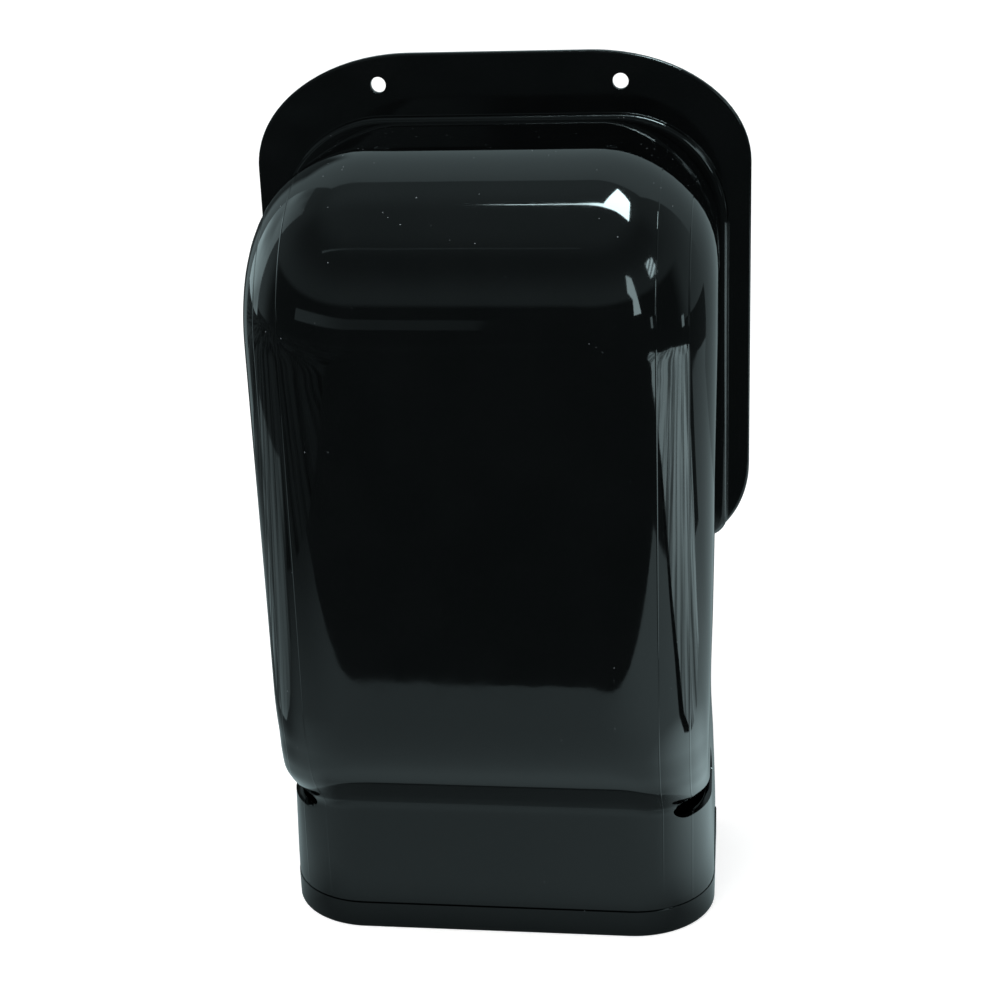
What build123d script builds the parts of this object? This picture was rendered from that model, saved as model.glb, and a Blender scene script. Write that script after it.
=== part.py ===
"""Hooded vent cover: flanged base on the wall, push-on hood with a downward outlet, sleeve with a damper.

Millimetres. X runs across the cover, the wall is the plane Y = 0 with the hood on its -Y side, and Z is up.
The origin is where the duct's axis meets the wall. Heights in the table below are measured up from the
outlet rim, because the cover stands on it; z_at() turns such a height into Z.
"""

import math
import os

from build123d import *

# --- driving dimensions: where things are ---
AXIS_HEIGHT = 188.0  # duct axis above the outlet rim
TOP_HEIGHT = 265.0  # top of the hood
FLANGE_TOP = 287.5
FLANGE_BOTTOM = 113.0
SEAM_HEIGHT = 9.8  # the outlet ring ends here and the hood begins
COLLAR_HEIGHT = 45.0  # the ramp from the collar out to the body begins here

# --- hood: its outer form ---
WALL = 2.4
COLLAR_DEPTH = 84.2  # from the wall
BODY_DEPTH = 108.0
RAMP_ANGLE = 45.0
RAMP_ROOT_RADIUS = 9.5  # concave, where the ramp leaves the collar
RAMP_CROWN_RADIUS = 43.5  # convex, where it meets the body
DOME_RADIUS = 56.0
WIDTHS = (  # height, half width
    (0.0, 74.0),
    (12.0, 73.9),
    (40.0, 73.1),
    (60.0, 72.3),
    (90.0, 73.0),
    (206.0, 75.0),
)
TAPER = 0.9  # the sides draw in this much from the front to the wall
CORNERS = (  # height, radius of the upright corners
    (0.0, 28.0),
    (45.0, 27.5),
    (52.0, 23.0),
    (58.0, 22.0),
    (66.0, 26.0),
    (76.0, 31.0),
    (90.0, 33.0),
    (206.0, 39.0),
)
SLOT_FRONT = -79.6
SLOT_BACK = -38.6
SLOT_MIDDLE = 46.8  # height of the side slots
SLOT_HEIGHT = 9.5

# --- base: flange, plinth under the hood, tongue behind the collar ---
PLATE = 2.6
FLANGE_HALF = 84.5
FLANGE_TOP_CORNER = (54.0, 38.0)  # quarter ellipse, across and up
FLANGE_BOTTOM_CORNER = (24.0, 30.0)
FLANGE_EDGE = 0.8
PLINTH_RISE = 3.0
PLINTH_HALF = 77.0
PLINTH_TOP = 266.8
PLINTH_BOTTOM = 116.0
PLINTH_CORNER = 37.0
PLINTH_EDGE = 2.2
PLINTH_FOOT_CORNER = 8.0
TONGUE_HALF = 71.0
TONGUE_BOTTOM = 1.0
FIT_GAP = 0.3  # between the hood and what it slides over
GASKET_GAP = 0.1  # round the wall gasket in its groove
SCREW_HOLE_RADIUS = 2.7
SCREW_HALF_SPACING = 41.0
UPPER_SCREWS = 277.2
LOWER_SCREWS = 62.0
SCREW_BOSS_RADIUS = 6.0
RIB = 1.8
CROSS_RIBS = (24.0, 80.0, 112.0)
LONG_RIBS = 22.0  # either side of the middle
GASKET_SECTION = (3.5, 1.2)  # width, depth of its groove
GASKET_INSET = 2.5
GASKET_BOTTOM = 146.0
GUIDE = (2.0, 10.0)  # thickness, reach of the ribs that locate the hood
TOP_GUIDE_HALF = 34.0
SIDE_GUIDE = (134.0, 222.0)  # from, to
SIDE_GUIDE_OUTSIDE = 69.9
RETURN_OUTSIDE = 66.9  # side walls on the tongue, for the spring clips
RETURN_SPAN = (30.0, 100.0)
RETURN_FRONT = -16.0

# --- duct sleeve and damper ---
PORT_RADIUS = 51.1
SLEEVE_RADIUS = 51.0
SPIGOT_RADIUS = 49.0  # the part behind the base, which the duct goes over
BORE_RADIUS = 47.0
SLEEVE_FRONT = -15.0
SPIGOT_END = 28.0
SLEEVE_RIM_RADIUS = 60.0
SLEEVE_RIM = 2.0
SLEEVE_SEAL = 1.0
SLEEVE_SCREW_CIRCLE = 55.6
SLEEVE_SCREW_SHANK = 1.4
SLEEVE_SCREW_TIP = -1.6
SLEEVE_SCREW_HEAD = (2.7, 1.8)  # radius, height
SLEEVE_SCREW_BOSS = 3.6
HINGE_HEIGHT = 243.0
HINGE_Y = -15.5
PIN_RADIUS = 1.25
PIN_HALF = 32.4
FIXED_CLEARANCE = 0.05  # radial, round a shaft that stays put
RUNNING_CLEARANCE = 0.07  # radial, round the hinge pin
EAR = (27.0, 30.0)  # inside, outside
EAR_BOTTOM = 232.0
KNUCKLE = (14.0, 26.5)  # from, to, either side of the middle
KNUCKLE_RADIUS = 3.2
KNUCKLE_FOOT = 40.0  # above the duct's axis, where the knuckles' stems meet the flap
CLIP_RING = (3.0, 0.8)  # radius, thickness
FLAP_RADIUS = 50.2
FLAP = 2.0
FLAP_BACK = -16.3
FLAP_SEAL = (46.4, 1.2)  # inner radius, thickness
FLAP_RIM = (3.0, 1.6)  # width, height
FLAP_RIB = 2.0

# --- outlet ring and pest screen ---
RING_TOP = 9.6
RING_PROUD = 0.4
RING_WALL = 3.0
RING_BACK = -6.2
RING_BACK_CORNER = 4.0
RING_FOOT_RADIUS = 0.9
LEDGE = (4.4, 6.4)  # bottom and top of the shelf that carries the screen
LEDGE_WIDTH = 7.0
PLUG_TOP = 18.0
PLUG_WALL = 2.0
PLUG_GAP = 0.2
SCREEN = 1.2
SCREEN_GAP = 0.3
SCREEN_PITCH = 5.5
SCREEN_HOLE = 4.3
SCREEN_HOLES = (21, 11)

# --- spring clips inside the side slots ---
CLIP_STRIP = 0.8
CLIP_HEIGHT = 7.4
CLIP_PATH = ((67.4, -7.5), (67.4, -17.0), (68.6, -41.0), (68.6, -48.0), (65.4, -56.0))  # X, Y

NEAR = 0.01  # how close counts as touching when edges are picked
RAMP_SHIFT = math.tan(math.radians(RAMP_ANGLE / 2))  # rise of the ramp's inside per unit of wall
PLINTH_FRONT = -(PLATE + PLINTH_RISE)
HOOD_BACK = PLINTH_FRONT - FIT_GAP
RIM_BACK = PLINTH_FRONT - SLEEVE_SEAL
RIM_FRONT = RIM_BACK - SLEEVE_RIM


def z_at(height):
    """Z of a height above the outlet rim."""
    return height - AXIS_HEIGHT


def between(table, height):
    """Straight-line value of a (height, value) table."""
    below = [row for row in table if row[0] <= height] or [table[0]]
    above = [row for row in table if row[0] >= height] or [table[-1]]
    (h0, v0), (h1, v1) = below[-1], above[0]
    return v0 if h1 == h0 else v0 + (v1 - v0) * (height - h0) / (h1 - h0)


def ramp_depth(height):
    """Depth of the hood's front face: collar, concave root, straight ramp, convex crown, body."""
    angle = math.radians(RAMP_ANGLE)
    root_rise = RAMP_ROOT_RADIUS * math.sin(angle)
    root_run = RAMP_ROOT_RADIUS * (1 - math.cos(angle))
    crown_rise = RAMP_CROWN_RADIUS * math.sin(angle)
    crown_run = RAMP_CROWN_RADIUS * (1 - math.cos(angle))
    straight_run = BODY_DEPTH - COLLAR_DEPTH - root_run - crown_run
    straight_rise = straight_run / math.tan(angle)
    up = height - COLLAR_HEIGHT
    if up <= 0:
        return COLLAR_DEPTH
    if up <= root_rise:
        return COLLAR_DEPTH + RAMP_ROOT_RADIUS - math.sqrt(RAMP_ROOT_RADIUS**2 - up**2)
    if up <= root_rise + straight_rise:
        return COLLAR_DEPTH + root_run + (up - root_rise) * math.tan(angle)
    left = root_rise + straight_rise + crown_rise - up
    if left <= 0:
        return BODY_DEPTH
    return BODY_DEPTH - RAMP_CROWN_RADIUS + math.sqrt(RAMP_CROWN_RADIUS**2 - left**2)


def plan_corners(half, front, back):
    """The hood's four corners in plan: full width in front, a little narrower at the wall."""
    return (-half, front), (half, front), (half - TAPER, back), (TAPER - half, back)


def hood_section(height, inset, back):
    """One level cut through the hood's form, drawn in by inset: square at the wall, rounded in front."""
    half = between(WIDTHS, height) - inset
    depth = ramp_depth(height - RAMP_SHIFT * inset) - inset
    with BuildSketch(Plane.XY.offset(z_at(height))) as cut:
        with BuildLine():
            Polyline(*plan_corners(half, -depth, back), close=True)
        make_face()
        fillet(cut.vertices().group_by(Axis.Y)[0], between(CORNERS, height) - inset)
    return cut.sketch


def dome_form(inset, back):
    """The top of the hood's form: the front rolls over into the top, with the edges of the roll rounded."""
    spring = TOP_HEIGHT - DOME_RADIUS
    half = between(WIDTHS, spring) - inset
    front = inset - BODY_DEPTH
    top = z_at(TOP_HEIGHT) - inset
    bend = DOME_RADIUS - inset
    with BuildPart() as dome:
        with BuildSketch(Plane.YZ):
            with BuildLine():
                Polyline((front, z_at(spring)), (back, z_at(spring)), (back, top), (front + bend, top))
                RadiusArc((front + bend, top), (front, z_at(spring)), -bend)
            make_face()
        extrude(amount=half, both=True)
        with BuildSketch(Plane.XY.offset(z_at(spring))):
            with BuildLine():
                Polyline(*plan_corners(half, front, back), close=True)
            make_face()
        extrude(amount=top, mode=Mode.INTERSECT)
        rim = [
            edge
            for edge in dome.edges()
            if abs(edge.center().X) > half - TAPER - NEAR
            and edge.center().Y < back - NEAR
            and edge.center().Z > z_at(spring) + NEAR
        ]
        fillet(rim, between(CORNERS, spring) - inset)
    return dome.part


def hood_form(inset, foot, back=0.0):
    """The hood's solid form, drawn in by inset, from the height foot up to the top of the dome."""
    levels = (
        (foot, COLLAR_HEIGHT),
        (COLLAR_HEIGHT, 48.0, 51.5, 55.0, 59.0, 63.0, 67.5, 72.5, 78.0, 84.0, 90.0),
        (90.0, TOP_HEIGHT - DOME_RADIUS),
    )
    with BuildPart() as form:
        for heights in levels:
            loft(sections=[hood_section(h, inset, back) for h in heights], ruled=len(heights) == 2)
        add(dome_form(inset, back))
    return form.part


def wall_plane(y):
    """The upright plane at y, facing away from the wall, with X across and Z up."""
    return Plane.XZ.offset(-y)


def flange_outline(inset):
    """The flange's outline at the wall plane, drawn in by inset: elliptical corners, larger at the top."""
    half = FLANGE_HALF - inset
    top = z_at(FLANGE_TOP) - inset
    bottom = z_at(FLANGE_BOTTOM) + inset
    top_x, top_z = (size - inset for size in FLANGE_TOP_CORNER)
    foot_x, foot_z = (size - inset for size in FLANGE_BOTTOM_CORNER)
    with BuildSketch(wall_plane(0)) as outline:
        with BuildLine():
            Line((0, top), (half - top_x, top))
            EllipticalCenterArc((half - top_x, top - top_z), top_x, top_z, arc_size=90)
            Line((half, top - top_z), (half, bottom + foot_z))
            foot = (half - foot_x, bottom + foot_z)
            EllipticalCenterArc(foot, foot_x, foot_z, start_angle=270, arc_size=90)
            Line((half - foot_x, bottom), (0, bottom))
            mirror(about=Plane.YZ)
        make_face()
    return outline.sketch


def plinth_head(inset):
    """The raised plinth behind the hood's body, drawn in by inset."""
    middle = (PLINTH_TOP + PLINTH_BOTTOM) / 2
    with BuildSketch(wall_plane(0)) as head:
        with Locations((0, z_at(middle))):
            Rectangle(2 * (PLINTH_HALF - inset), PLINTH_TOP - PLINTH_BOTTOM - 2 * inset)
        fillet(head.vertices().group_by(Axis.Y)[-1], PLINTH_CORNER - inset)
        fillet(head.vertices().group_by(Axis.Y)[0], PLINTH_FOOT_CORNER - inset)
    return head.sketch


def plinth_outline(inset):
    """The plinth with the tongue that runs down from it, drawn in by inset."""
    foot = z_at(TONGUE_BOTTOM) + inset
    with BuildSketch(wall_plane(0)) as outline:
        add(plinth_head(inset))
        with Locations((0, foot)):
            Rectangle(2 * (TONGUE_HALF - inset), -foot, align=(Align.CENTER, Align.MIN))
    return outline.sketch


os.makedirs("parts", exist_ok=True)

# --- base plate: everything that stays on the wall is fixed to it ---
with BuildPart() as base_plate:
    extrude(flange_outline(0), amount=PLATE)
    flange_front = base_plate.faces().sort_by(Axis.Y)[0]
    fillet(flange_front.edges(), FLANGE_EDGE)
    extrude(plinth_outline(0), amount=PLATE + PLINTH_RISE)
    front = base_plate.faces().filter_by(Axis.Y).sort_by(Axis.Y)[0]
    fillet(front.outer_wire().edges(), PLINTH_EDGE)
    extrude(plinth_outline(PLATE), amount=PLINTH_RISE, mode=Mode.SUBTRACT)

    # ribs and bosses across the hollow behind the plinth
    with BuildSketch(wall_plane(0)):
        for x in (-LONG_RIBS, LONG_RIBS):
            with Locations((x, z_at(TONGUE_BOTTOM))):
                Rectangle(RIB, PLINTH_BOTTOM, align=(Align.CENTER, Align.MIN))
        for height in CROSS_RIBS:
            with Locations((0, z_at(height))):
                Rectangle(2 * TONGUE_HALF - PLATE, RIB)
        Circle(PORT_RADIUS + RIB)
        with PolarLocations(SLEEVE_SCREW_CIRCLE, 4, start_angle=45):
            Circle(SLEEVE_SCREW_BOSS)
        with Locations(*[(x, z_at(LOWER_SCREWS)) for x in (-SCREW_HALF_SPACING, SCREW_HALF_SPACING)]):
            Circle(SCREW_BOSS_RADIUS)
    extrude(amount=PLATE + PLINTH_RISE)

    # duct port, wall screws, sleeve screws
    with BuildSketch(wall_plane(0)):
        Circle(PORT_RADIUS)
        for height in (UPPER_SCREWS, LOWER_SCREWS):
            with Locations(*[(x, z_at(height)) for x in (-SCREW_HALF_SPACING, SCREW_HALF_SPACING)]):
                Circle(SCREW_HOLE_RADIUS)
        with PolarLocations(SLEEVE_SCREW_CIRCLE, 4, start_angle=45):
            Circle(SLEEVE_SCREW_SHANK + FIXED_CLEARANCE)
    extrude(amount=PLATE + PLINTH_RISE, mode=Mode.SUBTRACT)

    # groove for the wall gasket: over the top and down the sides, open below so that water drains
    with BuildSketch(wall_plane(0)):
        add(flange_outline(GASKET_INSET))
        add(flange_outline(GASKET_INSET + GASKET_SECTION[0]), mode=Mode.SUBTRACT)
        with Locations((0, z_at(GASKET_BOTTOM))):
            Rectangle(3 * FLANGE_HALF, FLANGE_TOP, align=(Align.CENTER, Align.MAX), mode=Mode.SUBTRACT)
    extrude(amount=GASKET_SECTION[1], mode=Mode.SUBTRACT)

    # guides that the hood slides over, and the side walls that carry the spring clips
    with BuildSketch(wall_plane(PLINTH_FRONT)):
        with Locations((0, z_at(TOP_HEIGHT) - WALL - FIT_GAP)):
            Rectangle(2 * TOP_GUIDE_HALF, GUIDE[0], align=(Align.CENTER, Align.MAX))
        for side in (-1, 1):
            with Locations((side * (SIDE_GUIDE_OUTSIDE - GUIDE[0] / 2), z_at(SIDE_GUIDE[0]))):
                Rectangle(GUIDE[0], SIDE_GUIDE[1] - SIDE_GUIDE[0], align=(Align.CENTER, Align.MIN))
    extrude(amount=GUIDE[1])
    with BuildSketch(wall_plane(PLINTH_FRONT)):
        for side in (-1, 1):
            with Locations((side * (RETURN_OUTSIDE - GUIDE[0] / 2), z_at(RETURN_SPAN[0]))):
                Rectangle(GUIDE[0], RETURN_SPAN[1] - RETURN_SPAN[0], align=(Align.CENTER, Align.MIN))
    extrude(amount=PLINTH_FRONT - RETURN_FRONT)

# --- wall gasket: foam strip in the flange's groove ---
with BuildPart() as wall_gasket:
    with BuildSketch(wall_plane(0)):
        add(flange_outline(GASKET_INSET + GASKET_GAP))
        add(flange_outline(GASKET_INSET + GASKET_SECTION[0] - GASKET_GAP), mode=Mode.SUBTRACT)
        with Locations((0, z_at(GASKET_BOTTOM) + GASKET_GAP)):
            Rectangle(3 * FLANGE_HALF, FLANGE_TOP, align=(Align.CENTER, Align.MAX), mode=Mode.SUBTRACT)
    extrude(amount=GASKET_SECTION[1])

# --- duct sleeve: collar for the duct behind, damper seat and hinge ears in front ---
with BuildPart() as duct_sleeve:
    with BuildSketch(Plane.YZ):
        with BuildLine():
            Polyline(
                (SLEEVE_FRONT, BORE_RADIUS),
                (SLEEVE_FRONT, SLEEVE_RADIUS),
                (RIM_FRONT, SLEEVE_RADIUS),
                (RIM_FRONT, SLEEVE_RIM_RADIUS),
                (RIM_BACK, SLEEVE_RIM_RADIUS),
                (RIM_BACK, SLEEVE_RADIUS),
                (-PLINTH_RISE, SLEEVE_RADIUS),
                (-PLINTH_RISE, SPIGOT_RADIUS),
                (SPIGOT_END, SPIGOT_RADIUS),
                (SPIGOT_END, BORE_RADIUS),
                close=True,
            )
        make_face()
    revolve(axis=Axis.Y)
    for inside, outside in (EAR, (-EAR[1], -EAR[0])):
        with BuildSketch(Plane.YZ.offset(inside)):
            with Locations((RIM_BACK, z_at(EAR_BOTTOM))):
                ear_height = HINGE_HEIGHT + KNUCKLE_RADIUS - EAR_BOTTOM
                Rectangle(RIM_BACK - HINGE_Y, ear_height, align=(Align.MAX, Align.MIN))
            with Locations((HINGE_Y, z_at(HINGE_HEIGHT))):
                Circle(KNUCKLE_RADIUS)
                Circle(PIN_RADIUS + FIXED_CLEARANCE, mode=Mode.SUBTRACT)
        extrude(amount=outside - inside)
    with BuildSketch(wall_plane(RIM_FRONT)):
        with PolarLocations(SLEEVE_SCREW_CIRCLE, 4, start_angle=45):
            Circle(SLEEVE_SCREW_SHANK + FIXED_CLEARANCE)
    extrude(amount=-SLEEVE_RIM, mode=Mode.SUBTRACT)

# --- flat seal between the sleeve's rim and the plinth ---
with BuildPart() as sleeve_seal:
    with BuildSketch(wall_plane(PLINTH_FRONT)):
        Circle(SLEEVE_RIM_RADIUS - FIT_GAP)
        Circle(SLEEVE_RADIUS + FIT_GAP, mode=Mode.SUBTRACT)
        with PolarLocations(SLEEVE_SCREW_CIRCLE, 4, start_angle=45):
            Circle(SLEEVE_SCREW_SHANK + FIT_GAP, mode=Mode.SUBTRACT)
    extrude(amount=SLEEVE_SEAL)

# --- screws that hold the sleeve ---
with BuildPart() as sleeve_screws:
    with BuildSketch(wall_plane(SLEEVE_SCREW_TIP)):
        with PolarLocations(SLEEVE_SCREW_CIRCLE, 4, start_angle=45):
            Circle(SLEEVE_SCREW_SHANK)
    extrude(amount=SLEEVE_SCREW_TIP - RIM_FRONT)
    with BuildSketch(wall_plane(RIM_FRONT)):
        with PolarLocations(SLEEVE_SCREW_CIRCLE, 4, start_angle=45):
            Circle(SLEEVE_SCREW_HEAD[0])
    extrude(amount=SLEEVE_SCREW_HEAD[1])
    head_tops = sleeve_screws.faces().filter_by(Axis.Y).group_by(Axis.Y)[0]
    fillet(head_tops.edges(), SLEEVE_SCREW_HEAD[1] / 2)
    with BuildSketch(wall_plane(RIM_FRONT - SLEEVE_SCREW_HEAD[1])):
        with PolarLocations(SLEEVE_SCREW_CIRCLE, 4, start_angle=45):
            Rectangle(SLEEVE_SCREW_HEAD[0], SLEEVE_SCREW_SHANK / 2)
            Rectangle(SLEEVE_SCREW_SHANK / 2, SLEEVE_SCREW_HEAD[0])
    extrude(amount=-SLEEVE_SCREW_HEAD[1] / 2, mode=Mode.SUBTRACT)

# --- damper flap: hangs from the pin and closes the sleeve by its own weight ---
with BuildPart() as damper_flap:
    with BuildSketch(wall_plane(FLAP_BACK)):
        Circle(FLAP_RADIUS)
    extrude(amount=FLAP)
    with BuildSketch(wall_plane(FLAP_BACK - FLAP)):
        Circle(FLAP_RADIUS)
        Circle(FLAP_RADIUS - FLAP_RIM[0], mode=Mode.SUBTRACT)
        Rectangle(2 * FLAP_RADIUS - FLAP_RIM[0], FLAP_RIB)
        Rectangle(FLAP_RIB, 2 * FLAP_RADIUS - FLAP_RIM[0])
        Circle(3 * FLAP_RIB)
    extrude(amount=FLAP_RIM[1])
    for start, end in (KNUCKLE, (-KNUCKLE[1], -KNUCKLE[0])):
        with BuildSketch(Plane.YZ.offset(start)):
            with Locations((FLAP_BACK, z_at(HINGE_HEIGHT))):
                Rectangle(FLAP, HINGE_HEIGHT - AXIS_HEIGHT - KNUCKLE_FOOT, align=(Align.MAX, Align.MAX))
            with Locations((HINGE_Y, z_at(HINGE_HEIGHT))):
                Circle(KNUCKLE_RADIUS)
        extrude(amount=end - start)
    with BuildSketch(Plane.YZ.offset(-PIN_HALF)):
        with Locations((HINGE_Y, z_at(HINGE_HEIGHT))):
            Circle(PIN_RADIUS + RUNNING_CLEARANCE)
    extrude(amount=2 * PIN_HALF, mode=Mode.SUBTRACT)

# --- rubber ring on the flap's back ---
with BuildPart() as damper_seal:
    with BuildSketch(wall_plane(FLAP_BACK + FLAP_SEAL[1])):
        Circle(FLAP_RADIUS)
        Circle(FLAP_SEAL[0], mode=Mode.SUBTRACT)
    extrude(amount=FLAP_SEAL[1])

# --- hinge pin and its two push-on rings ---
with BuildPart() as damper_pin:
    with BuildSketch(Plane.YZ.offset(-PIN_HALF)):
        with Locations((HINGE_Y, z_at(HINGE_HEIGHT))):
            Circle(PIN_RADIUS)
    extrude(amount=2 * PIN_HALF)
    chamfer(damper_pin.edges(), PIN_RADIUS / 4)

with BuildPart() as pin_rings:
    for start in (EAR[1] + FIXED_CLEARANCE, -EAR[1] - FIXED_CLEARANCE - CLIP_RING[1]):
        with BuildSketch(Plane.YZ.offset(start)):
            with Locations((HINGE_Y, z_at(HINGE_HEIGHT))):
                Circle(CLIP_RING[0])
                Circle(PIN_RADIUS + FIXED_CLEARANCE, mode=Mode.SUBTRACT)
        extrude(amount=CLIP_RING[1])

# --- hood: one moulded shell, open at the back and at the bottom, with a slot in each side ---
with BuildPart() as hood:
    add(hood_form(0, SEAM_HEIGHT, HOOD_BACK))
    add(hood_form(WALL, SEAM_HEIGHT - WALL, WALL), mode=Mode.SUBTRACT)
    with BuildSketch(Plane.YZ):
        with Locations(((SLOT_FRONT + SLOT_BACK) / 2, z_at(SLOT_MIDDLE))):
            SlotOverall(SLOT_BACK - SLOT_FRONT, SLOT_HEIGHT)
    extrude(amount=PLINTH_HALF, both=True, mode=Mode.SUBTRACT)

# --- outlet ring: band below the hood, shelf for the screen, plug up inside the collar ---
with BuildPart() as outlet_ring:
    extrude(hood_section(0, -RING_PROUD, RING_BACK), amount=RING_TOP)
    fillet(outlet_ring.edges().filter_by(Axis.Z).group_by(Axis.Y)[-1], RING_BACK_CORNER)
    fillet(outlet_ring.faces().sort_by(Axis.Z)[0].edges(), RING_FOOT_RADIUS)
    plug = WALL + PLUG_GAP
    loft(sections=[hood_section(h, plug, RING_BACK) for h in (RING_TOP, PLUG_TOP)], ruled=True)
    throats = (
        (0.0, LEDGE[0], RING_WALL),
        (LEDGE[0], LEDGE[1], RING_WALL + LEDGE_WIDTH),
        (LEDGE[1], PLUG_TOP, plug + PLUG_WALL),
    )
    for foot, head, inset in throats:
        throat = hood_section(foot, inset, RING_BACK - min(inset, RING_WALL + LEDGE_WIDTH / 2))
        extrude(throat, amount=head - foot, mode=Mode.SUBTRACT)

# --- pest screen: moulded grille that drops onto the ring's shelf ---
with BuildPart() as pest_screen:
    screen_inset = plug + PLUG_WALL + SCREEN_GAP
    extrude(hood_section(LEDGE[1], screen_inset, RING_BACK - screen_inset), amount=SCREEN)
    middle = (RING_BACK - COLLAR_DEPTH) / 2
    with BuildSketch(Plane.XY.offset(z_at(LEDGE[1]))):
        with Locations((0, middle)):
            with GridLocations(SCREEN_PITCH, SCREEN_PITCH, *SCREEN_HOLES):
                Rectangle(SCREEN_HOLE, SCREEN_HOLE)
    extrude(amount=SCREEN, mode=Mode.SUBTRACT)

# --- spring clips: steel strips that bear on the hood's wall behind the side slots ---
with BuildPart() as spring_clip_right:
    with BuildSketch(Plane.XY.offset(z_at(SLOT_MIDDLE) - CLIP_HEIGHT / 2)):
        with BuildLine():
            FilletPolyline(*CLIP_PATH, radius=CLIP_STRIP * 3)
        trace(line_width=CLIP_STRIP)
    extrude(amount=CLIP_HEIGHT)

with BuildPart() as spring_clip_left:
    add(spring_clip_right.part)
    mirror(about=Plane.YZ, mode=Mode.REPLACE)

pieces = {
    "base_plate": base_plate,
    "wall_gasket": wall_gasket,
    "duct_sleeve": duct_sleeve,
    "sleeve_seal": sleeve_seal,
    "sleeve_screws": sleeve_screws,
    "damper_flap": damper_flap,
    "damper_seal": damper_seal,
    "damper_pin": damper_pin,
    "pin_rings": pin_rings,
    "hood": hood,
    "outlet_ring": outlet_ring,
    "pest_screen": pest_screen,
    "spring_clip_left": spring_clip_left,
    "spring_clip_right": spring_clip_right,
}
for name, piece in pieces.items():
    piece.part.label = name
    export_step(piece.part, f"parts/{name}.step")
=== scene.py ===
"""Looks for the hooded vent cover: gloss black mouldings on a white table, in soft studio light.

Metres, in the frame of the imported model: the wall is the plane Y = 0, the hood is on its -Y side, Z is up.
"""

import math

import bmesh
import bpy
from mathutils import Matrix, Vector


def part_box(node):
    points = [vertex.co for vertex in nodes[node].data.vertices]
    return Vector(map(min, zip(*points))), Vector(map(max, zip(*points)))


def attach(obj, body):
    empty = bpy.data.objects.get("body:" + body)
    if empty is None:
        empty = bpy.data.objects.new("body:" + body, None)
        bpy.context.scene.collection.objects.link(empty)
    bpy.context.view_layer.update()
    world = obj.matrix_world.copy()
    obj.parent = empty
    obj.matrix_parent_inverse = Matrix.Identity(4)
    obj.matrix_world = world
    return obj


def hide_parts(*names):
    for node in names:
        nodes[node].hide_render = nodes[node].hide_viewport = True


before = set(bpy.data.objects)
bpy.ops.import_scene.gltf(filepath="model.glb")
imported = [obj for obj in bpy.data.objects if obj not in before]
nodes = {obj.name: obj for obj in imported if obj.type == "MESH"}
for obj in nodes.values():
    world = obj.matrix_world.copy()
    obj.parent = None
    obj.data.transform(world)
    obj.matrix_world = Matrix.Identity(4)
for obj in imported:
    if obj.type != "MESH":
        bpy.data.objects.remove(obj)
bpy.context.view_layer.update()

MM = 0.001
FLOOR_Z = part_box("outlet_ring")[0].z

# --- camera: a short telephoto, above the cover and a little to its right ---
CAMERA_AT = Vector((0.0893, -0.6741, FLOOR_Z + 0.3758))
CAMERA_YAW = math.radians(7.96)
CAMERA_PITCH = math.radians(20.05)
CAMERA_ROLL = math.radians(-2.12)
LENS = 72.0
SENSOR = 36.0

# --- hood: its form, as in the model's own drawing; heights are above the outlet rim ---
WALL = 2.4 * MM
COLLAR_DEPTH = 84.2 * MM
COLLAR_HEIGHT = 45.0 * MM
RAMP_ANGLE = math.radians(45)
RAMP_ROOT = 9.5 * MM
RAMP_CROWN = 43.5 * MM
RAMP_SHIFT = math.tan(RAMP_ANGLE / 2)
DOME = 56.0 * MM
# half widths and corner radii, each with its height, in millimetres
WIDTHS = ((0.0, 74.0), (12.0, 73.9), (40.0, 73.1), (60.0, 72.3), (90.0, 73.0), (206.0, 75.0))
CORNERS = (
    (0.0, 28.0),
    (45.0, 27.5),
    (52.0, 23.0),
    (58.0, 22.0),
    (66.0, 26.0),
    (76.0, 31.0),
    (90.0, 33.0),
    (206.0, 39.0),
)
TAPER = 0.9 * MM  # each side draws in by this toward the wall
SLOT_FRONT, SLOT_BACK = -79.6 * MM, -38.6 * MM
SLOT_MIDDLE = 46.8 * MM
SLOT_HEIGHT = 9.5 * MM
EDGE_WIDTH = 0.45 * MM  # of the eased edges
EDGE_FOLD = math.radians(50)  # folds sharper than this are eased
SCREW_ASIDE, SCREW_DROP = 41.0 * MM, 10.3 * MM  # upper screw holes, from the middle and from the top
HOLE_FLAG, HOLE_FLAG_DEPTH = 2.6 * MM, 1.3 * MM  # radius of the flag inside each, and how far in it is
hood_low, hood_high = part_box("hood")
BODY_DEPTH = -hood_low.y
HOOD_BACK = hood_high.y
HOOD_FOOT = hood_low.z - FLOOR_Z
TOP_HEIGHT = hood_high.z - FLOOR_Z
SPRING = TOP_HEIGHT - DOME
FINE_FOOT, FINE_HEAD = COLLAR_HEIGHT - 4 * MM, COLLAR_HEIGHT + 50 * MM  # closer sections round the ramp
FOOT_STEPS, FINE_STEPS, BODY_STEPS, DOME_STEPS = 12, 64, 40, 36
JOINED = 0.001 * MM  # points closer than this become one
SHARP = math.radians(28)  # folds sharper than this stay sharp when shaded


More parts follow.
